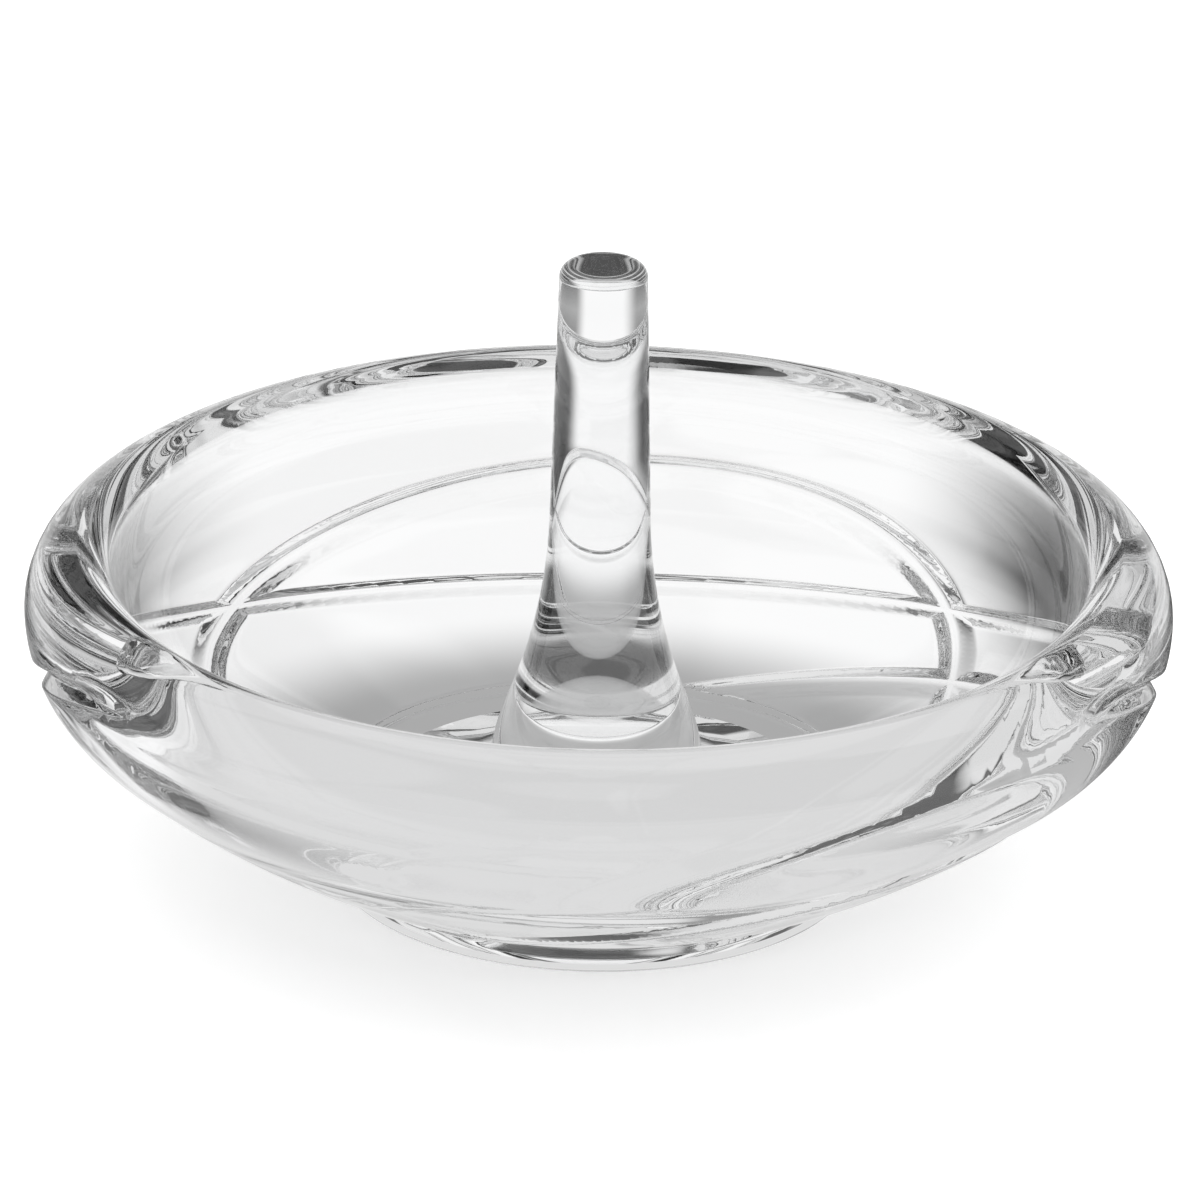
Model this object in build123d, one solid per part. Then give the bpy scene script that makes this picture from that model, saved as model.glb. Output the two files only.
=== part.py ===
from build123d import *
import os
from math import asin, atan2, cos, degrees, radians, sin, sqrt

# Ring dish: a thick, round dish of clear crystal with a solid post in its middle that rings are dropped over.
# The origin is on the dish's axis, at the height of the ground, +Z is up and -Y is the front.
# Sizes are in millimetres and angles in degrees.

# Dish
outer_radius = 55.0
dish_height = 33.7
lip_rise = 6.5
lip_inset = 5.6
lip_round = 2.6
shoulder_round = 11.8
shoulder_angle = 50.0
hollow_depth = 20.6
hollow_side_round = 14.0

# Foot
foot_radius = 25.5
foot_height = 2.4
foot_root = 2.0
foot_edge_round = 0.6
foot_rim_width = 3.5
foot_dome_rise = 0.8

# Relief: three leaning grooves run round the outside of the wall and cross one another.
# Each follows a plane, whose depth is measured on the axis down from the dish's widest point.
# A lean is about the X axis, a side lean about the Y axis.
groove_width = 2.3
groove_depth = 1.1
groove_end_rise = 1.5
low_back_groove_depth = 7.7
low_back_groove_lean = -13.3
low_back_groove_side_lean = -0.1
high_back_groove_depth = 19.4
high_back_groove_lean = 13.2
high_back_groove_side_lean = 0.7
high_right_groove_depth = 23.7
high_right_groove_lean = -9.2
high_right_groove_side_lean = -11.8

# Ring post
post_height = 62.3
post_top_radius = 4.2
post_top_round = 1.3
shaft_end_radius = 4.85
flare_rise = 24.9
bell_radius = 8.6
bell_rise = 6.5
post_base_radius = 10.3
post_seat_margin = 0.5

# The lip's crest turns into the hollow where the glass is upright.
# The hollow's tighter side meets its wide floor arc tangentially, and the floor ends in the post's flat seat.
widest_height = dish_height - lip_rise
lip_crest_radius = outer_radius - lip_inset
hollow_radius = lip_crest_radius - lip_round
hollow_top = dish_height - lip_round
hollow_side_centre = hollow_radius - hollow_side_round
floor_arc_radius = (hollow_side_centre**2 + hollow_depth**2 - hollow_side_round**2) / (
    2 * (hollow_depth - hollow_side_round)
)
floor_arc_centre = hollow_top - hollow_depth + floor_arc_radius
seat_radius = post_base_radius + post_seat_margin
seat_height = floor_arc_centre - sqrt(floor_arc_radius**2 - seat_radius**2)


def wall_lines(inset):
    """The outside of the wall up to the widest point, moved inwards: one long arc and the shoulder's arc.

    The wall's lowest point is returned.
    """
    turn = radians(shoulder_angle)
    shoulder_centre = Vector(outer_radius - shoulder_round, widest_height)
    out_of_turn = Vector(cos(turn), -sin(turn))
    down_wall = Vector(-sin(turn), -cos(turn))
    foot_corner = Vector(foot_radius, foot_height)
    chord = (foot_corner - shoulder_centre - out_of_turn * shoulder_round).normalized()
    into_foot = chord * (2 * chord.dot(down_wall)) - down_wall
    low = foot_corner + Vector(into_foot.Y, -into_foot.X) * inset
    TangentArc(shoulder_centre + out_of_turn * (shoulder_round - inset), low, tangent=down_wall)
    CenterArc(shoulder_centre, shoulder_round - inset, -shoulder_angle, shoulder_angle)
    return low


def lip_lines(inset):
    """The lip, moved inwards: an arc from the widest point that meets the round crest tangentially."""
    rise = lip_rise - lip_round
    arc_radius = (lip_inset**2 + rise**2 - lip_round**2) / (2 * (lip_inset - lip_round))
    centre = outer_radius - arc_radius
    meet = degrees(atan2(rise, lip_crest_radius - centre))
    CenterArc((centre, widest_height), arc_radius - inset, 0, meet)
    CenterArc((lip_crest_radius, hollow_top), lip_round - inset, meet, 180 - meet)


def hollow_lines():
    """The hollow from the lip's crest down to the seat: its tighter side and then its wide floor."""
    floor_slope = degrees(asin(hollow_side_centre / (floor_arc_radius - hollow_side_round)))
    seat_slope = degrees(asin(seat_radius / floor_arc_radius))
    CenterArc((hollow_side_centre, hollow_top), hollow_side_round, 0, floor_slope - 90)
    CenterArc((0, floor_arc_centre), floor_arc_radius, floor_slope - 90, seat_slope - floor_slope)


def make_bowl():
    """The bowl without its foot and relief: wall, lip, hollow and the flat seat for the post."""
    with BuildPart() as bowl:
        with BuildSketch(Plane.XZ):
            with BuildLine():
                wall_lines(0)
                lip_lines(0)
                hollow_lines()
                Polyline(
                    (seat_radius, seat_height),
                    (0, seat_height),
                    (0, foot_height),
                    (foot_radius, foot_height),
                )
            make_face()
        revolve(axis=Axis.Z)
    return bowl.part


def make_core():
    """The filled dish moved inwards by the grooves' depth: all that the grooves leave in place."""
    with BuildPart() as core:
        with BuildSketch(Plane.XZ):
            with BuildLine():
                low = wall_lines(groove_depth)
                lip_lines(groove_depth)
                Polyline(
                    low,
                    (low.X, 0),
                    (0, 0),
                    (0, hollow_top),
                    (hollow_radius + groove_depth, hollow_top),
                )
            make_face()
        revolve(axis=Axis.Z)
    return core.part


def make_groove_blank(core, depth, lean, side_lean):
    """What one groove takes off the wall: a leaning slab around the core.

    The groove ends where it has climbed a little past the dish's widest point, where the wall stands upright.
    """
    groove = Plane.XY.offset(widest_height - depth).rotated((lean, side_lean, 0))
    size = 2 * (outer_radius + dish_height)
    slab = groove * Box(size, size, groove_width)
    end_height = widest_height + groove_end_rise
    below_end = Pos(0, 0, end_height) * Box(size, size, size, align=(Align.CENTER, Align.CENTER, Align.MAX))
    return slab & below_end - core


def make_foot():
    """The low round foot, with a shallow dome underneath that leaves a flat rim to stand on."""
    rim_inside = foot_radius - foot_rim_width
    root_height = foot_height + foot_root
    with BuildPart() as foot:
        with BuildSketch(Plane.XZ):
            with BuildLine():
                TangentArc((0, foot_dome_rise), (rim_inside, 0), tangent=(1, 0))
                Polyline((rim_inside, 0), (foot_radius, 0), (foot_radius, root_height), (0, root_height))
                Line((0, root_height), (0, foot_dome_rise))
            make_face()
        revolve(axis=Axis.Z)
        ground_edge = foot.edges().filter_by(GeomType.CIRCLE).group_by(Axis.Z)[0].sort_by(SortBy.RADIUS)[-1]
        fillet(ground_edge, foot_edge_round)
    return foot.part


def make_dish():
    """The whole dish: one piece of pressed crystal with its lip, wall, grooves and foot."""
    core = make_core()
    grooves = (
        (low_back_groove_depth, low_back_groove_lean, low_back_groove_side_lean),
        (high_back_groove_depth, high_back_groove_lean, high_back_groove_side_lean),
        (high_right_groove_depth, high_right_groove_lean, high_right_groove_side_lean),
    )
    bowl = make_bowl()
    for depth, lean, side_lean in grooves:
        bowl -= make_groove_blank(core, depth, lean, side_lean)
    return bowl + make_foot()


def make_ring_post():
    """The solid post: a slightly tapered shaft, a bell-shaped flare and a flat base on the dish's seat."""
    with BuildPart() as post:
        with BuildSketch(Plane.XZ):
            with BuildLine():
                shaft = Line((post_top_radius, post_height), (shaft_end_radius, seat_height + flare_rise))
                flare = TangentArc(shaft @ 1, (bell_radius, seat_height + bell_rise), tangent=shaft % 1)
                bell = TangentArc(flare @ 1, (post_base_radius, seat_height), tangent=flare % 1)
                Polyline(bell @ 1, (0, seat_height), (0, post_height), shaft @ 0)
            make_face()
        revolve(axis=Axis.Z)
        fillet(post.edges().group_by(Axis.Z)[-1], post_top_round)
    return post.part


if __name__ == "__main__":
    os.makedirs("parts", exist_ok=True)
    export_step(make_dish(), "parts/dish.step")
    export_step(make_ring_post(), "parts/ring_post.step")
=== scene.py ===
from math import asin, atan2, cos, hypot, pi, radians, sin, sqrt, tan

import bmesh
import bpy
from bpy.props import FloatProperty, FloatVectorProperty, IntProperty, PointerProperty
from mathutils import Matrix, Vector


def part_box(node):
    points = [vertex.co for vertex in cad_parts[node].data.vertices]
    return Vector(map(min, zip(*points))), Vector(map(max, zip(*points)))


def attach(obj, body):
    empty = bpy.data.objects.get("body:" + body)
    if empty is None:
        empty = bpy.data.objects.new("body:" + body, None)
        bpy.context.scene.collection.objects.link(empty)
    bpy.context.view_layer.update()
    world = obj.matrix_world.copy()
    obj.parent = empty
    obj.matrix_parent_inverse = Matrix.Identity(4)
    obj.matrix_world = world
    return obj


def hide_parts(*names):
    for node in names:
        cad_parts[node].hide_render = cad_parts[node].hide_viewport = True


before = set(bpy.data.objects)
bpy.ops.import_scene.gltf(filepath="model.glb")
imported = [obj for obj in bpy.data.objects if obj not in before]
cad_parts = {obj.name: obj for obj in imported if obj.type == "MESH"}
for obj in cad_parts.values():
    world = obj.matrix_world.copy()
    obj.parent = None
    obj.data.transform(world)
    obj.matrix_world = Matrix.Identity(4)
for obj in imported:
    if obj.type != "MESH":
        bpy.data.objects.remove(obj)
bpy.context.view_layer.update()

bl_info = {
    "name": "Crystal Ring Dish",
    "version": (1, 0, 0),
    "blender": (4, 5, 0),
    "location": "View3D > Sidebar > Ring Dish",
    "description": "Builds a footed crystal ring dish with crossing grooves and a post for rings",
    "category": "Object",
}

MM = 0.001

# Points closer than the first are merged, and a point closer to a plane than the second lies on it
MERGE_DISTANCE = 0.0001 * MM
TOUCH_DISTANCE = 0.001 * MM

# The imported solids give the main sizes, so the dressed pieces stay inside them
dish_low, dish_high = (Vector(corner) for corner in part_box("dish"))
post_low, post_high = (Vector(corner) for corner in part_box("ring_post"))


# Sizes and colours that a user would change

class DishSizes(bpy.types.PropertyGroup):
    outer_radius: FloatProperty(
        name="Outer Radius", description="Radius of the dish at its widest",
        default=dish_high.x, unit="LENGTH")
    height: FloatProperty(
        name="Height", description="Height of the lip's crest above the ground",
        default=dish_high.z, unit="LENGTH")
    widest_height: FloatProperty(
        name="Widest Height", description="Height at which the dish is widest",
        default=27.2 * MM, unit="LENGTH")
    lip_crest_radius: FloatProperty(
        name="Lip Crest Radius", description="Radius of the circle on which the lip is highest",
        default=49.4 * MM, unit="LENGTH")
    lip_round: FloatProperty(
        name="Lip Round", description="Radius of the round on top of the lip",
        default=2.6 * MM, unit="LENGTH")
    shoulder_round: FloatProperty(
        name="Shoulder Round", description="Radius of the wall's bend below the widest point",
        default=11.8 * MM, unit="LENGTH")
    shoulder_angle: FloatProperty(
        name="Shoulder Angle", description="How far the bend below the widest point turns",
        default=radians(50), subtype="ANGLE")
    hollow_depth: FloatProperty(
        name="Hollow Depth", description="Depth that the hollow's curve would reach on the axis",
        default=20.6 * MM, unit="LENGTH")
    hollow_side_round: FloatProperty(
        name="Hollow Side Round", description="Radius of the hollow's tighter curve below the lip",
        default=14 * MM, unit="LENGTH")
    foot_radius: FloatProperty(
        name="Foot Radius", description="Outside radius of the foot",
        default=25.5 * MM, unit="LENGTH")
    foot_height: FloatProperty(
        name="Foot Height", description="Height of the foot's upright side",
        default=2.4 * MM, unit="LENGTH")
    foot_rim_width: FloatProperty(
        name="Foot Rim Width", description="Width of the flat rim that the dish stands on",
        default=3.5 * MM, unit="LENGTH")
    foot_dome_rise: FloatProperty(
        name="Foot Dome Rise", description="Rise of the shallow dome under the foot",
        default=0.8 * MM, unit="LENGTH")
    edge_round: FloatProperty(
        name="Edge Round", description="Radius of the fire-polished corners",
        default=0.5 * MM, unit="LENGTH")
    segments: IntProperty(
        name="Segments", description="Steps of the turn round the axis",
        default=360, min=24)


class GrooveSizes(bpy.types.PropertyGroup):
    depth: FloatProperty(
        name="Depth", description="Depth of a groove, square to the wall",
        default=1.4 * MM, unit="LENGTH")
    width: FloatProperty(
        name="Width", description="Width of a groove's mouth, square to its plane",
        default=2.2 * MM, unit="LENGTH")
    floor_width: FloatProperty(
        name="Floor Width", description="Width of a groove's flat bottom, square to its plane",
        default=0.45 * MM, unit="LENGTH")
    corner_round: FloatProperty(
        name="Corner Round", description="How far a groove's corners are rounded",
        default=0.1 * MM, unit="LENGTH")
    run_out_height: FloatProperty(
        name="Run-out Height", description="Height at which the grooves end on the upright part of the wall",
        default=29.5 * MM, unit="LENGTH")
    run_out_length: FloatProperty(
        name="Run-out Length", description="Height over which the grooves fade out",
        default=2 * MM, unit="LENGTH")
    low_back_height: FloatProperty(
        name="Low Back Height",
        description="Height at which the groove that is low at the back meets the axis",
        default=17.7 * MM, unit="LENGTH")
    low_back_lean: FloatProperty(
        name="Low Back Lean", description="Lean of that groove about the X axis",
        default=radians(-12.25), subtype="ANGLE")
    low_back_side_lean: FloatProperty(
        name="Low Back Side Lean", description="Lean of that groove about the Y axis",
        default=radians(-0.35), subtype="ANGLE")
    low_back_rise: FloatProperty(
        name="Low Back Rise", description="How far that groove climbs above its plane towards the front",
        default=5.5 * MM, unit="LENGTH")
    bend_reach: FloatProperty(
        name="Bend Reach",
        description="Distance from the axis, to the front and the back, over which it climbs",
        default=35 * MM, unit="LENGTH")
    high_back_height: FloatProperty(
        name="High Back Height",
        description="Height at which the groove that is high at the back meets the axis",
        default=7.6 * MM, unit="LENGTH")
    high_back_lean: FloatProperty(
        name="High Back Lean", description="Lean of that groove about the X axis",
        default=radians(12.3), subtype="ANGLE")
    high_back_side_lean: FloatProperty(
        name="High Back Side Lean", description="Lean of that groove about the Y axis",
        default=radians(2.7), subtype="ANGLE")
    high_back_twist: FloatProperty(
        name="High Back Twist",
        description="Twist of that groove out of its plane, per metre to the side and back",
        default=1.61)
    high_right_height: FloatProperty(
        name="High Right Height",
        description="Height at which the groove that is high at the front right meets the axis",
        default=3.5 * MM, unit="LENGTH")
    high_right_lean: FloatProperty(
        name="High Right Lean", description="Lean of that groove about the X axis",
        default=radians(-9.2), subtype="ANGLE")
    high_right_side_lean: FloatProperty(
        name="High Right Side Lean", description="Lean of that groove about the Y axis",
        default=radians(-11.8), subtype="ANGLE")


class PostSizes(bpy.types.PropertyGroup):
    height: FloatProperty(
        name="Height", description="Height of the post's top above the ground",
        default=post_high.z, unit="LENGTH")
    base_height: FloatProperty(
        name="Base Height", description="Height of the post's flat base above the ground",
        default=post_low.z, unit="LENGTH")
    base_radius: FloatProperty(
        name="Base Radius", description="Radius of the flare where it meets the dish",
        default=post_high.x, unit="LENGTH")
    seat_margin: FloatProperty(
        name="Seat Margin", description="Width of the flat seat outside the post's base",
        default=0.5 * MM, unit="LENGTH")
    top_radius: FloatProperty(
        name="Top Radius", description="Radius of the shaft at its top",
        default=4.2 * MM, unit="LENGTH")
    top_round: FloatProperty(
        name="Top Round", description="Radius of the round at the top's edge",
        default=1.3 * MM, unit="LENGTH")
    shaft_end_radius: FloatProperty(
        name="Shaft End Radius", description="Radius of the shaft where the flare starts",
        default=4.85 * MM, unit="LENGTH")
    flare_rise: FloatProperty(
        name="Flare Rise", description="Height above the base at which the flare starts",
        default=24.9 * MM, unit="LENGTH")
    bell_radius: FloatProperty(
        name="Bell Radius", description="Radius at which the flare turns from hollow to round",
        default=8.6 * MM, unit="LENGTH")
    bell_rise: FloatProperty(
        name="Bell Rise", description="Height above the base at which the flare turns from hollow to round",
        default=6.5 * MM, unit="LENGTH")


class StageLook(bpy.types.PropertyGroup):
    crystal_colour: FloatVectorProperty(
        name="Crystal Colour", description="Tint of the clear crystal",
        default=(0.985, 0.99, 0.995), subtype="COLOR", min=0, max=1)
    floor_colour: FloatVectorProperty(
        name="Floor Colour", description="Colour of the plain floor",
        default=(0.93, 0.93, 0.93), subtype="COLOR", min=0, max=1)
    floor_size: FloatProperty(
        name="Floor Size", description="Radius of the floor",
        default=8, unit="LENGTH")
    camera_elevation: FloatProperty(
        name="Camera Elevation", description="Angle at which the camera looks down",
        default=radians(23.29), subtype="ANGLE")
    camera_distance: FloatProperty(
        name="Camera Distance", description="Distance of the camera from the point it looks at",
        default=1.2, unit="LENGTH")
    camera_aim: FloatProperty(
        name="Camera Aim", description="Height on the axis that the camera looks at",
        default=27.59 * MM, unit="LENGTH")
    camera_roll: FloatProperty(
        name="Camera Roll", description="Turn of the camera about its own line of sight",
        default=0.0152, subtype="ANGLE")
    camera_lens: FloatProperty(
        name="Camera Lens", description="Focal length in millimetres on a 36 mm sensor",
        default=375.8)
    camera_shift: FloatProperty(
        name="Camera Shift", description="Sideways shift of the view, as a share of its width",
        default=0.001)


# Drawing half outlines in the plane y = 0

def start_outline(bm, x, z):
    """The outline's first point."""
    return bm.verts.new((x, 0, z))


def line_to(bm, vert, x, z, steps=1):
    """A straight run to a point, in equal steps."""
    start = vert.co.copy()
    for step in range(1, steps + 1):
        share = step / steps
        spot = bm.verts.new((start.x + (x - start.x) * share, 0, start.z + (z - start.z) * share))
        bm.edges.new((vert, spot))
        vert = spot
    return vert


def arc_round(bm, vert, centre_x, centre_z, angle, steps):
    """An arc about a centre, anticlockwise as seen from the front. It starts at the last point."""
    made = bmesh.ops.spin(
        bm, geom=[vert], cent=(centre_x, 0, centre_z), axis=(0, -1, 0), dvec=(0, 0, 0),
        angle=angle, steps=steps, use_merge=False, use_duplicate=False)
    return made["geom_last"][0]


def tangent_arc(bm, vert, heading, x, z, steps):
    """An arc that leaves the last point in the given direction and ends at a point."""
    start = Vector((vert.co.x, vert.co.z))
    chord = Vector((x, z)) - start
    along = Vector(heading).normalized()
    across = Vector((-along.y, along.x))
    radius = chord.length_squared / (2 * across.dot(chord))
    centre = start + across * radius
    angle = 2 * atan2(across.dot(chord), along.dot(chord))
    return arc_round(bm, vert, centre.x, centre.y, angle, steps)


def turn_round_axis(bm, segments):
    """Turns the half outline into a closed body about the axis, with its poles merged."""
    bmesh.ops.spin(
        bm, geom=bm.verts[:] + bm.edges[:], cent=(0, 0, 0), axis=(0, 0, 1), dvec=(0, 0, 0),
        angle=2 * pi, steps=segments, use_merge=True, use_duplicate=False)
    bmesh.ops.remove_doubles(bm, verts=bm.verts[:], dist=MERGE_DISTANCE)
    bmesh.ops.recalc_face_normals(bm, faces=bm.faces[:])


def finish_piece(bm, name, node, materials):
    """Makes the piece's object, rides it on the body and lets it stand for its CAD node."""
    mesh = bpy.data.meshes.new(name)
    bm.to_mesh(mesh)
    bm.free()
    for material in materials:
        mesh.materials.append(material)
    mesh.shade_smooth()
    piece = bpy.data.objects.new(name, mesh)
    bpy.context.scene.collection.objects.link(piece)
    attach(piece, "root")
    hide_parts(node)
    return piece


# Materials

# Waves, smudges and the tint's drift are noise, with a scale in waves per metre
CRYSTAL_IOR = 1.54
WAVE_SCALE = 55
WAVE_DETAIL = 1
WAVE_HEIGHT = 0.02 * MM
SMUDGE_SCALE = 90
SMUDGE_DETAIL = 5
SMUDGE_START = 0.5
SMUDGE_FULL = 0.8
SMUDGE_ROUGHNESS = 0.02
DRIFT_SCALE = 20


def crystal_surface_group():
    """Faint smudges and the slight waves of hand-finished crystal, for every crystal material."""
    name = "Crystal Surface"
    if name in bpy.data.node_groups:
        return bpy.data.node_groups[name]
    group = bpy.data.node_groups.new(name, "ShaderNodeTree")
    face = group.interface
    face.new_socket("Tint", in_out="INPUT", socket_type="NodeSocketColor")
    face.new_socket("Wave Height", in_out="INPUT", socket_type="NodeSocketFloat")
    face.new_socket("Smudge", in_out="INPUT", socket_type="NodeSocketFloat")
    face.new_socket("Color", in_out="OUTPUT", socket_type="NodeSocketColor")
    face.new_socket("Roughness", in_out="OUTPUT", socket_type="NodeSocketFloat")
    face.new_socket("Normal", in_out="OUTPUT", socket_type="NodeSocketVector")
    nodes, links = group.nodes, group.links
    source = nodes.new("NodeGroupInput")
    sink = nodes.new("NodeGroupOutput")
    place = nodes.new("ShaderNodeTexCoord")

    waves = nodes.new("ShaderNodeTexNoise")
    waves.inputs["Scale"].default_value = WAVE_SCALE
    waves.inputs["Detail"].default_value = WAVE_DETAIL
    bump = nodes.new("ShaderNodeBump")
    bump.inputs["Strength"].default_value = 1
    links.new(place.outputs["Object"], waves.inputs["Vector"])
    links.new(waves.outputs["Fac"], bump.inputs["Height"])
    links.new(source.outputs["Wave Height"], bump.inputs["Distance"])
    links.new(bump.outputs["Normal"], sink.inputs["Normal"])

    smears = nodes.new("ShaderNodeTexNoise")
    smears.inputs["Scale"].default_value = SMUDGE_SCALE
    smears.inputs["Detail"].default_value = SMUDGE_DETAIL
    level = nodes.new("ShaderNodeMapRange")
    level.inputs["From Min"].default_value = SMUDGE_START
    level.inputs["From Max"].default_value = SMUDGE_FULL
    links.new(place.outputs["Object"], smears.inputs["Vector"])
    links.new(smears.outputs["Fac"], level.inputs["Value"])
    links.new(source.outputs["Smudge"], level.inputs["To Max"])
    links.new(level.outputs["Result"], sink.inputs["Roughness"])

    drift = nodes.new("ShaderNodeTexNoise")
    drift.inputs["Scale"].default_value = DRIFT_SCALE
    shade = nodes.new("ShaderNodeMix")
    shade.data_type = "RGBA"
    shade.blend_type = "MIX"
    shade.inputs["B"].default_value = (1, 1, 1, 1)
    links.new(place.outputs["Object"], drift.inputs["Vector"])
    links.new(drift.outputs["Fac"], shade.inputs["Factor"])
    links.new(source.outputs["Tint"], shade.inputs["A"])
    links.new(shade.outputs["Result"], sink.inputs["Color"])
    return group


def crystal_material(name):
    """Clear polished crystal, one material for each piece."""
    material = bpy.data.materials.new(name)
    material.use_nodes = True
    nodes, links = material.node_tree.nodes, material.node_tree.links
    look = bpy.context.scene.ring_dish_stage
    glass = nodes["Principled BSDF"]
    glass.inputs["Transmission Weight"].default_value = 1
    glass.inputs["IOR"].default_value = CRYSTAL_IOR
    surface = nodes.new("ShaderNodeGroup")
    surface.node_tree = crystal_surface_group()
    surface.inputs["Tint"].default_value = (*look.crystal_colour, 1)
    surface.inputs["Wave Height"].default_value = WAVE_HEIGHT
    surface.inputs["Smudge"].default_value = SMUDGE_ROUGHNESS
    for socket, target in (("Color", "Base Color"), ("Roughness", "Roughness"), ("Normal", "Normal")):
        links.new(surface.outputs[socket], glass.inputs[target])
    return material


def bond_material():
    """The bonded faces between post and dish, where light passes straight from one to the other."""
    name = "Clear Bond"
    if name in bpy.data.materials:
        return bpy.data.materials[name]
    material = bpy.data.materials.new(name)
    material.use_nodes = True
    nodes, links = material.node_tree.nodes, material.node_tree.links
    nodes.remove(nodes["Principled BSDF"])
    clear = nodes.new("ShaderNodeBsdfTransparent")
    links.new(clear.outputs["BSDF"], nodes["Material Output"].inputs["Surface"])
    return material


# Pieces

def draw_dish_outline(bm, sizes, post):
    """The dish's half outline, from the axis under the foot round the outside and hollow to the seat."""
    rim_inside = sizes.foot_radius - sizes.foot_rim_width
    rim_outside = sizes.foot_radius - sizes.edge_round
    vert = start_outline(bm, 0, sizes.foot_dome_rise)
    vert = tangent_arc(bm, vert, (1, 0), rim_inside, 0, steps=8)
    vert = line_to(bm, vert, rim_outside, 0, steps=3)
    vert = arc_round(bm, vert, rim_outside, sizes.edge_round, pi / 2, steps=5)
    vert = line_to(bm, vert, sizes.foot_radius, sizes.foot_height, steps=4)

    centre = sizes.outer_radius - sizes.shoulder_round
    turn = sizes.shoulder_angle
    turn_x = centre + sizes.shoulder_round * cos(turn)
    turn_z = sizes.widest_height - sizes.shoulder_round * sin(turn)
    rise = Vector((turn_x - sizes.foot_radius, turn_z - sizes.foot_height))
    leave = Vector((sin(turn), cos(turn)))
    start_heading = 2 * rise * rise.dot(leave) / rise.length_squared - leave
    vert = tangent_arc(bm, vert, start_heading, turn_x, turn_z, steps=64)
    vert = arc_round(bm, vert, centre, sizes.widest_height, turn, steps=24)

    hollow_top = sizes.height - sizes.lip_round
    inset = sizes.outer_radius - sizes.lip_crest_radius
    lift = hollow_top - sizes.widest_height
    lip_arc = (inset**2 + lift**2 - sizes.lip_round**2) / (2 * (inset - sizes.lip_round))
    lip_centre = sizes.outer_radius - lip_arc
    meet = atan2(lift, sizes.lip_crest_radius - lip_centre)
    vert = arc_round(bm, vert, lip_centre, sizes.widest_height, meet, steps=10)
    vert = arc_round(bm, vert, sizes.lip_crest_radius, hollow_top, pi - meet, steps=26)

    side = sizes.hollow_side_round
    side_x = sizes.lip_crest_radius - sizes.lip_round - side
    floor_arc = (side_x**2 + sizes.hollow_depth**2 - side**2) / (2 * (sizes.hollow_depth - side))
    floor_slope = asin(side_x / (floor_arc - side))
    seat_slope = asin((post.base_radius + post.seat_margin) / floor_arc)
    vert = arc_round(bm, vert, side_x, hollow_top, floor_slope - pi / 2, steps=30)
    floor_centre = hollow_top - sizes.hollow_depth + floor_arc
    vert = arc_round(bm, vert, 0, floor_centre, seat_slope - floor_slope, steps=26)
    vert = line_to(bm, vert, post.base_radius, post.base_height)
    line_to(bm, vert, 0, post.base_height, steps=4)


# Points along a cut that are closer than this are merged
SLIVER_WIDTH = 0.04 * MM

# Faces that look up by more than this aren't cut
UPWARD_LIMIT = 0.3


def smooth_step(share):
    """A share from 0 to 1 with a soft start and end."""
    share = min(max(share, 0), 1)
    return share * share * (3 - 2 * share)


def groove_bend(spot, reach, rise, twist):
    """How far above its plane a groove runs: it climbs towards the front, and twists."""
    return rise * smooth_step((reach - spot.y) / (2 * reach)) + twist * spot.x * spot.y


def groove_depth_at(spot, grooves, run):
    """How deep one groove is at a point of the wall: a flat bottom with sloping sides and rounded corners."""
    height, tilt, rise, twist = run
    height += groove_bend(spot, grooves.bend_reach, rise, twist)
    away = abs(tilt.dot(spot) - tilt.z * height)
    half, floor = grooves.width / 2, grooves.floor_width / 2
    share = (half - away) / (half - floor)
    soft = grooves.corner_round / (half - floor)
    share = (share + sqrt(share**2 + soft**2)) / 2
    share = (share + 1 - sqrt((share - 1) ** 2 + soft**2)) / 2
    fade = smooth_step((grooves.run_out_height - spot.z) / grooves.run_out_length)
    return grooves.depth * max(share, 0) * fade


def bend_points(geometry, reach, rise, twist):
    """Moves the points up or down by a groove's bend."""
    for v in geometry:
        if isinstance(v, bmesh.types.BMVert):
            v.co.z += groove_bend(v.co, reach, rise, twist)


def place_order(vert):
    """A key that puts points in the same order in every run, whatever order the cuts made them in."""
    return [round(value / MERGE_DISTANCE) for value in vert.co]


def groove_runs(grooves):
    """Each groove's height on the axis, its plane's normal, its rise towards the front and its twist."""
    planes = (
        (grooves.low_back_height, grooves.low_back_lean, grooves.low_back_side_lean),
        (grooves.high_back_height, grooves.high_back_lean, grooves.high_back_side_lean),
        (grooves.high_right_height, grooves.high_right_lean, grooves.high_right_side_lean),
    )
    bends = ((grooves.low_back_rise, 0), (0, grooves.high_back_twist), (0, 0))
    runs = []
    for (height, lean, side_lean), (rise, twist) in zip(planes, bends):
        tilt = Matrix.Rotation(side_lean, 3, "Y") @ Matrix.Rotation(lean, 3, "X")
        runs.append((height, tilt @ Vector((0, 0, 1)), rise, twist))
    return runs


def upright_faces(bm, sizes, grooves):
    """The faces that may be cut, up to the grooves' ends.

    They are the wall's outside and, below the lip, the hollow's side, which is as upright.
    """
    top = grooves.run_out_height + grooves.run_out_length
    faces = []
    for face in bm.faces:
        middle = face.calc_center_median()
        past_foot = hypot(middle.x, middle.y) > sizes.foot_radius and sizes.foot_height < middle.z < top
        if past_foot and face.normal.z < UPWARD_LIMIT:
            faces.append(face)
    return faces


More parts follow.
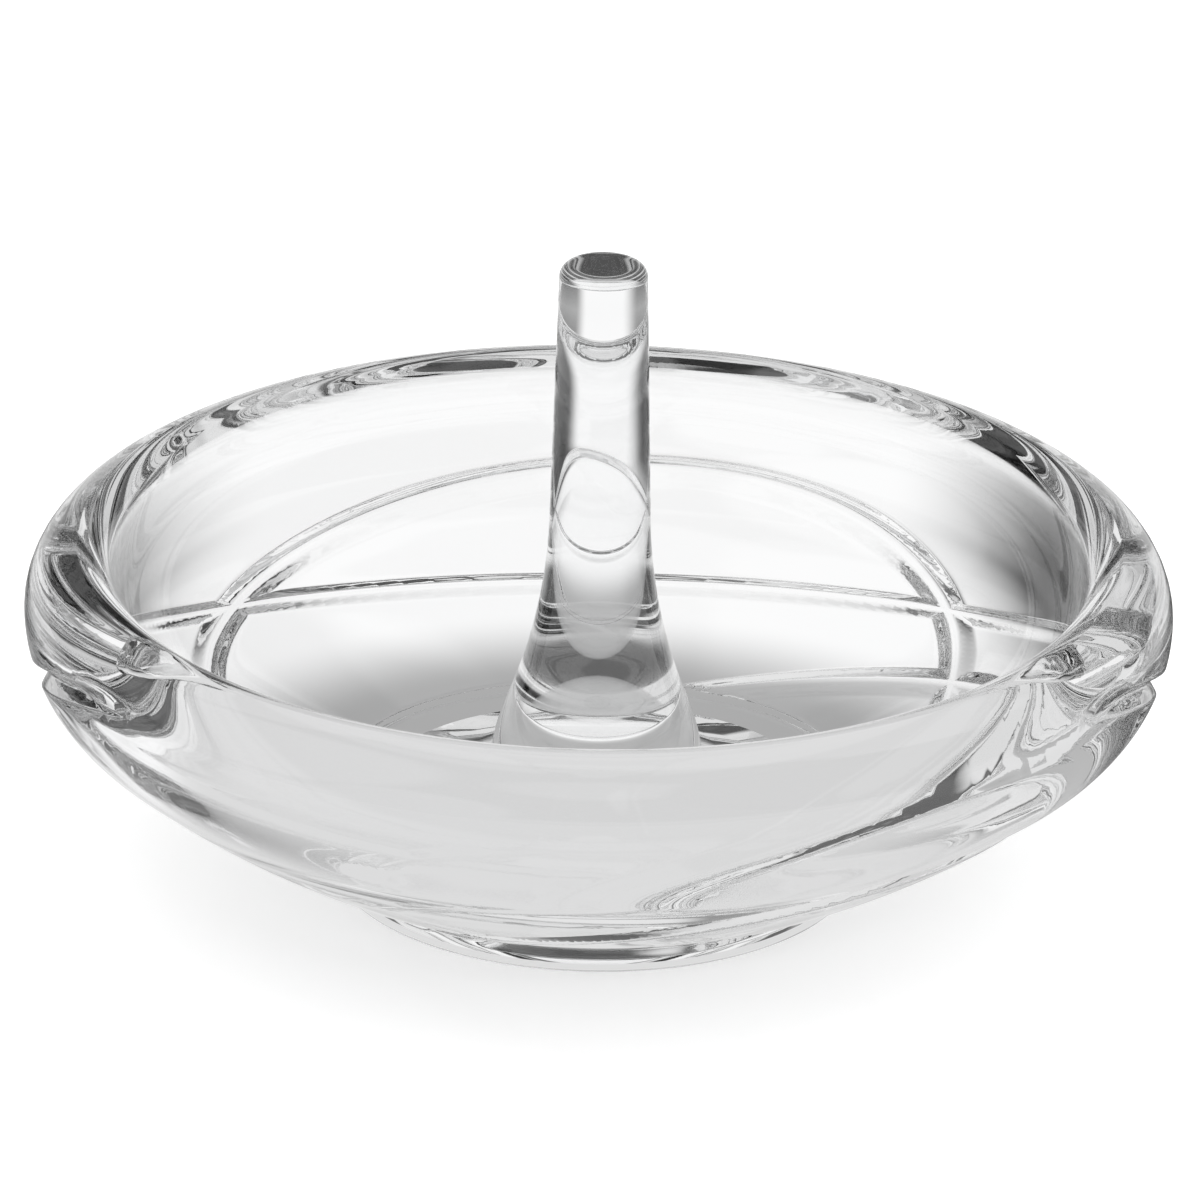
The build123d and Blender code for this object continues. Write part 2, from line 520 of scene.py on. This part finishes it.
def cut_grooves(bm, faces, grooves, runs):
    """Cuts the faces along the lines where the grooves' sides bend, then presses the grooves in."""
    half, floor, soft = grooves.width / 2, grooves.floor_width / 2, grooves.corner_round
    slope_middle = (half + floor) / 2
    offsets = (
        half + 2 * soft, half + soft, half, half - soft,
        slope_middle, floor + soft, floor, floor - soft,
    )
    geometry = list(dict.fromkeys(part for face in faces for part in (*face.verts, *face.edges, face)))
    for height, tilt, rise, twist in runs:
        bend_points(geometry, grooves.bend_reach, -rise, -twist)
        for side in (1, -1):
            for offset in offsets:
                cut = bmesh.ops.bisect_plane(
                    bm, geom=geometry, dist=TOUCH_DISTANCE,
                    plane_co=Vector((0, 0, height)) + tilt * (side * offset), plane_no=tilt)
                geometry = cut["geom"]
        bend_points(geometry, grooves.bend_reach, rise, twist)
    points = sorted((part for part in geometry if isinstance(part, bmesh.types.BMVert)), key=place_order)
    merged = bmesh.ops.find_doubles(bm, verts=points, dist=SLIVER_WIDTH)["targetmap"]
    bmesh.ops.weld_verts(bm, targetmap=merged)
    points = [v for v in points if v.is_valid]
    bm.normal_update()
    moves = []
    for v in points:
        depth = max(groove_depth_at(v.co, grooves, run) for run in runs)
        moves.append((v, v.normal * depth))
    for v, move in moves:
        v.co -= move


def make_dish(context):
    """The dish's mesh: the turned outline with the grooves round the wall."""
    scene = context.scene
    sizes, grooves, post = scene.ring_dish_sizes, scene.ring_dish_grooves, scene.ring_dish_post
    bm = bmesh.new()
    draw_dish_outline(bm, sizes, post)
    turn_round_axis(bm, sizes.segments)
    cut_grooves(bm, upright_faces(bm, sizes, grooves), grooves, groove_runs(grooves))
    for face in bm.faces:
        middle = face.calc_center_median()
        on_seat = abs(middle.z - post.base_height) < TOUCH_DISTANCE
        face.material_index = int(on_seat and hypot(middle.x, middle.y) < post.base_radius)
    return bm


def make_post(context):
    """The post's mesh: base, bell-shaped flare, tapered shaft and rounded top, turned about the axis."""
    post = context.scene.ring_dish_post
    bm = bmesh.new()
    vert = start_outline(bm, 0, post.base_height)
    vert = line_to(bm, vert, post.base_radius, post.base_height, steps=4)
    flare_height = post.base_height + post.flare_rise
    bell_height = post.base_height + post.bell_rise
    shaft = Vector((post.shaft_end_radius - post.top_radius, flare_height - post.height)).normalized()
    flare_chord = Vector((post.bell_radius - post.shaft_end_radius, bell_height - flare_height))
    flare_end = 2 * flare_chord * flare_chord.dot(shaft) / flare_chord.length_squared - shaft
    bell_chord = Vector((post.base_radius - post.bell_radius, -post.bell_rise))
    bell_end = 2 * bell_chord * bell_chord.dot(flare_end) / bell_chord.length_squared - flare_end
    vert = tangent_arc(bm, vert, -bell_end, post.bell_radius, bell_height, steps=14)
    vert = tangent_arc(bm, vert, -flare_end, post.shaft_end_radius, flare_height, steps=24)
    lean = atan2(shaft.x, -shaft.y)
    reach = post.top_round * tan((pi / 2 + lean) / 2)
    round_start = Vector((post.top_radius, post.height)) + shaft * reach
    vert = line_to(bm, vert, round_start.x, round_start.y, steps=12)
    centre = round_start + Vector((shaft.y, -shaft.x)) * post.top_round
    vert = arc_round(bm, vert, centre.x, centre.y, pi / 2 - lean, steps=8)
    line_to(bm, vert, 0, post.height, steps=4)
    turn_round_axis(bm, context.scene.ring_dish_sizes.segments)
    for face in bm.faces:
        face.material_index = int(all(abs(v.co.z - post.base_height) < TOUCH_DISTANCE for v in face.verts))
    return bm


class OBJECT_OT_ring_dish_dish(bpy.types.Operator):
    """Builds the crystal dish with its lip, grooves and foot"""
    bl_idname = "object.ring_dish_dish"
    bl_label = "Add Dish"

    def execute(self, context):
        materials = (crystal_material("Dish Crystal"), bond_material())
        dish = finish_piece(make_dish(context), "crystal_dish", "dish", materials)
        return {"FINISHED"}


class OBJECT_OT_ring_dish_post(bpy.types.Operator):
    """Builds the solid crystal post that rings are dropped over"""
    bl_idname = "object.ring_dish_post"
    bl_label = "Add Ring Post"

    def execute(self, context):
        materials = (crystal_material("Post Crystal"), bond_material())
        post = finish_piece(make_post(context), "crystal_post", "ring_post", materials)
        return {"FINISHED"}


# Stage

# The camera sees the floor with a glow of its own
FLOOR_ROUGHNESS = 0.8
FLOOR_GLOW = 0.5

# The crystal shows another glow there, a sheet of painted light and shade. Each fade runs between two places,
# to the side, to the back or out from the axis. Behind the dish the glow is a lit strip with painted shade at
# its sides and a painted shadow near the foot, with painted shadows in front of the foot and under its
# middle.
LIT_STRIP_LEFT_FADE = (-85 * MM, -40 * MM)
LIT_STRIP_RIGHT_FADE = (64 * MM, 35 * MM)
PAINTED_SIDE_SHADE_LEVEL = 0.04
FOOT_SHADOW_FADE = (30 * MM, 46 * MM)
FOOT_SHADOW_LEVEL = 0.45
FRONT_SHADOW_FADE = (-10 * MM, 15 * MM)
FRONT_SHADOW_LEVEL = 0.72
MIDDLE_SHADOW_FADE = (9 * MM, 15 * MM)
MIDDLE_SHADOW_LEVEL = 0.15
FAR_FADE = (110 * MM, 160 * MM)
FAR_LEVEL = 0.92

# What the crystal shows above the floor is a grey tent, lighter near the ground, with a bright backdrop.
# These fades are in how far a direction points up, or to the back, where 1 is straight there.
TENT_FADE = (0.06, 0.16)
TENT_LOW_LEVEL = 0.8
TENT_HIGH_LEVEL = 0.1
BACKDROP_SIDE_FADE = (0.93, 0.97)
BACKDROP_TOP_FADE = (0.28, 0.2)
BACKDROP_LEVEL = 1

# Round cards hang in the tent. Each has its bearing from the back, clockwise from above, its height,
# the radius of its even middle and of its soft edge, all in degrees, and its brightness.
CARDS = {
    "Large white, left": (262, 38, 28, 35, 1),
    "Large white, overhead": (20, 64, 18, 25, 1),
    "White, back left": (330, 45, 13, 19, 0.95),
    "White, high right": (62, 56, 11, 17, 1),
    "White, high front": (180, 56, 10, 18, 0.8),
    "Large black, right": (122, 36, 30, 35, 0),
    "Black, low back right": (37, 12, 15, 19, 0),
    "Black, low back left": (305, 9, 13, 17, 0),
    "White, low front left": (215, 12, 15, 21, 0.9),
}

SENSOR_WIDTH = 36
CLIP_END = 100
LIGHT_BOUNCES = 32


def node_math(tree, operation, first, second):
    """A Math node's result, from sockets or numbers."""
    node = tree.nodes.new("ShaderNodeMath")
    node.operation = operation
    for socket, source in zip(node.inputs, (first, second)):
        if isinstance(source, (int, float)):
            socket.default_value = source
        else:
            tree.links.new(source, socket)
    return node.outputs["Value"]


def node_fade(tree, source, start, end, low=0, high=1):
    """A value that goes smoothly from low to high as the source goes from start to end."""
    node = tree.nodes.new("ShaderNodeMapRange")
    node.interpolation_type = "SMOOTHSTEP"
    for name, value in (("From Min", start), ("From Max", end), ("To Min", low), ("To Max", high)):
        node.inputs[name].default_value = value
    tree.links.new(source, node.inputs["Value"])
    return node.outputs["Result"]


def node_blend(tree, share, first, second):
    """A value between two others, which are sockets or numbers."""
    node = tree.nodes.new("ShaderNodeMix")
    tree.links.new(share, node.inputs["Factor"])
    for name, source in (("A", first), ("B", second)):
        if isinstance(source, (int, float)):
            node.inputs[name].default_value = source
        else:
            tree.links.new(source, node.inputs[name])
    return node.outputs["Result"]


def seen_through_glass(tree):
    """1 for what the crystal mirrors or shows through itself, and 0 for all else."""
    path = tree.nodes.new("ShaderNodeLightPath")
    return node_math(tree, "MAXIMUM", path.outputs["Is Glossy Ray"], path.outputs["Is Transmission Ray"])


def floor_material():
    """A plain pale floor that shows white round the object and keeps its shadow.

    What the crystal shows of it is a glowing sheet of painted light: painted shade beside the back of the
    dish, and painted shadow round the foot and under its middle.
    """
    material = bpy.data.materials.new("Pale Floor")
    material.use_nodes = True
    tree = material.node_tree
    nodes, links = tree.nodes, tree.links
    look = bpy.context.scene.ring_dish_stage
    matt = nodes["Principled BSDF"]
    matt.inputs["Base Color"].default_value = (*look.floor_colour, 1)
    matt.inputs["Roughness"].default_value = FLOOR_ROUGHNESS
    matt.inputs["Specular IOR Level"].default_value = 0
    path = nodes.new("ShaderNodeLightPath")
    glow = nodes.new("ShaderNodeEmission")
    links.new(node_math(tree, "MULTIPLY", path.outputs["Is Camera Ray"], FLOOR_GLOW), glow.inputs["Strength"])
    lit = nodes.new("ShaderNodeAddShader")
    links.new(matt.outputs["BSDF"], lit.inputs[0])
    links.new(glow.outputs["Emission"], lit.inputs[1])

    place = nodes.new("ShaderNodeTexCoord")
    split = nodes.new("ShaderNodeSeparateXYZ")
    links.new(place.outputs["Object"], split.inputs["Vector"])
    distance = nodes.new("ShaderNodeVectorMath")
    distance.operation = "LENGTH"
    links.new(place.outputs["Object"], distance.inputs[0])
    x, y, radius = split.outputs["X"], split.outputs["Y"], distance.outputs["Value"]
    # Painted light: a lit strip behind the dish, with painted shade at its sides
    left = node_fade(tree, x, *LIT_STRIP_LEFT_FADE)
    right = node_fade(tree, x, *LIT_STRIP_RIGHT_FADE)
    lit_strip = node_blend(tree, node_math(tree, "MULTIPLY", left, right), PAINTED_SIDE_SHADE_LEVEL, 1)
    # Painted shadow of the dish and foot, dimming the strip near the foot
    strip_with_foot_shadow = node_math(tree, "MULTIPLY", lit_strip, node_fade(tree, radius, *FOOT_SHADOW_FADE, low=FOOT_SHADOW_LEVEL))
    # Painted shadow under the front of the dish, in front of the foot
    near_with_painted_shadows = node_blend(tree, node_fade(tree, y, *FRONT_SHADOW_FADE), FRONT_SHADOW_LEVEL, strip_with_foot_shadow)
    # Painted shadow, nearly black, under the middle of the foot
    near_with_painted_shadows = node_math(tree, "MULTIPLY", near_with_painted_shadows, node_fade(tree, radius, *MIDDLE_SHADOW_FADE, low=MIDDLE_SHADOW_LEVEL))
    level = node_blend(tree, node_fade(tree, radius, *FAR_FADE), near_with_painted_shadows, FAR_LEVEL)
    # The painted light and shade glows as an emission sheet that the crystal mirrors and shows through itself
    painted_light_sheet = nodes.new("ShaderNodeEmission")
    links.new(level, painted_light_sheet.inputs["Strength"])

    choose = nodes.new("ShaderNodeMixShader")
    links.new(seen_through_glass(tree), choose.inputs["Fac"])
    links.new(lit.outputs["Shader"], choose.inputs[1])
    links.new(painted_light_sheet.outputs["Emission"], choose.inputs[2])
    links.new(choose.outputs["Shader"], nodes["Material Output"].inputs["Surface"])
    return material


def studio_world():
    """A white studio: plain light on the floor, and for the crystal a grey tent, a backdrop and cards."""
    world = bpy.data.worlds.new("Studio")
    bpy.context.scene.world = world
    world.use_nodes = True
    tree = world.node_tree
    nodes, links = tree.nodes, tree.links
    plain = nodes["Background"]
    plain.inputs["Color"].default_value = (1, 1, 1, 1)
    plain.inputs["Strength"].default_value = 1
    place = nodes.new("ShaderNodeTexCoord")
    split = nodes.new("ShaderNodeSeparateXYZ")
    links.new(place.outputs["Generated"], split.inputs["Vector"])

    back, up = split.outputs["Y"], split.outputs["Z"]
    level = node_fade(tree, up, *TENT_FADE, TENT_LOW_LEVEL, TENT_HIGH_LEVEL)
    for name, (bearing, height, inside, outside, brightness) in CARDS.items():
        turn, rise = radians(bearing), radians(height)
        facing = nodes.new("ShaderNodeVectorMath")
        facing.label = name
        facing.operation = "DOT_PRODUCT"
        facing.inputs[1].default_value = (sin(turn) * cos(rise), cos(turn) * cos(rise), sin(rise))
        links.new(place.outputs["Generated"], facing.inputs[0])
        card = node_fade(tree, facing.outputs["Value"], cos(radians(outside)), cos(radians(inside)))
        level = node_blend(tree, card, level, brightness)
    sides = node_fade(tree, back, *BACKDROP_SIDE_FADE)
    top = node_fade(tree, up, *BACKDROP_TOP_FADE)
    level = node_blend(tree, node_math(tree, "MULTIPLY", sides, top), level, BACKDROP_LEVEL)

    tent = nodes.new("ShaderNodeBackground")
    links.new(level, tent.inputs["Strength"])
    choose = nodes.new("ShaderNodeMixShader")
    links.new(seen_through_glass(tree), choose.inputs["Fac"])
    links.new(plain.outputs["Background"], choose.inputs[1])
    links.new(tent.outputs["Background"], choose.inputs[2])
    links.new(choose.outputs["Shader"], nodes["World Output"].inputs["Surface"])


def add_floor(look):
    """The floor, a wide disc at the height of the ground."""
    bm = bmesh.new()
    bmesh.ops.create_circle(bm, cap_ends=True, radius=look.floor_size, segments=64)
    mesh = bpy.data.meshes.new("floor")
    bm.to_mesh(mesh)
    bm.free()
    mesh.materials.append(floor_material())
    floor = bpy.data.objects.new("floor", mesh)
    bpy.context.scene.collection.objects.link(floor)


def add_camera(look):
    """The camera, in front of the object and above it."""
    data = bpy.data.cameras.new("camera")
    data.sensor_width = SENSOR_WIDTH
    data.lens = look.camera_lens
    data.clip_end = CLIP_END
    data.shift_x = look.camera_shift
    camera = bpy.data.objects.new("camera", data)
    bpy.context.scene.collection.objects.link(camera)
    rise = look.camera_elevation
    aim = Vector((0, 0, look.camera_aim))
    place = aim + look.camera_distance * Vector((0, -cos(rise), sin(rise)))
    turn = Matrix.Rotation(pi / 2 - rise, 4, "X") @ Matrix.Rotation(look.camera_roll, 4, "Z")
    camera.matrix_world = Matrix.Translation(place) @ turn
    bpy.context.scene.camera = camera


class OBJECT_OT_ring_dish_stage(bpy.types.Operator):
    """Builds the floor, the studio light and the camera"""
    bl_idname = "object.ring_dish_stage"
    bl_label = "Add Stage"

    def execute(self, context):
        scene = context.scene
        look = scene.ring_dish_stage
        add_floor(look)
        studio_world()
        add_camera(look)
        scene.view_settings.view_transform = "Standard"
        scene.cycles.max_bounces = LIGHT_BOUNCES
        scene.cycles.transmission_bounces = LIGHT_BOUNCES
        scene.cycles.glossy_bounces = LIGHT_BOUNCES
        scene.cycles.transparent_max_bounces = LIGHT_BOUNCES
        return {"FINISHED"}


class VIEW3D_PT_ring_dish(bpy.types.Panel):
    bl_label = "Ring Dish"
    bl_space_type = "VIEW_3D"
    bl_region_type = "UI"
    bl_category = "Ring Dish"

    def draw(self, context):
        for operator in OPERATORS:
            self.layout.operator(operator.bl_idname)


OPERATORS = (OBJECT_OT_ring_dish_dish, OBJECT_OT_ring_dish_post, OBJECT_OT_ring_dish_stage)
GROUPS = (
    ("ring_dish_sizes", DishSizes),
    ("ring_dish_grooves", GrooveSizes),
    ("ring_dish_post", PostSizes),
    ("ring_dish_stage", StageLook),
)


def register():
    for name, group in GROUPS:
        bpy.utils.register_class(group)
        setattr(bpy.types.Scene, name, PointerProperty(type=group))
    for operator in OPERATORS:
        bpy.utils.register_class(operator)
    bpy.utils.register_class(VIEW3D_PT_ring_dish)


def unregister():
    bpy.utils.unregister_class(VIEW3D_PT_ring_dish)
    for operator in reversed(OPERATORS):
        bpy.utils.unregister_class(operator)
    for name, group in reversed(GROUPS):
        delattr(bpy.types.Scene, name)
        bpy.utils.unregister_class(group)


def main():
    register()
    bpy.ops.object.ring_dish_dish()
    bpy.ops.object.ring_dish_post()
    bpy.ops.object.ring_dish_stage()


if __name__ == "__main__":
    main()
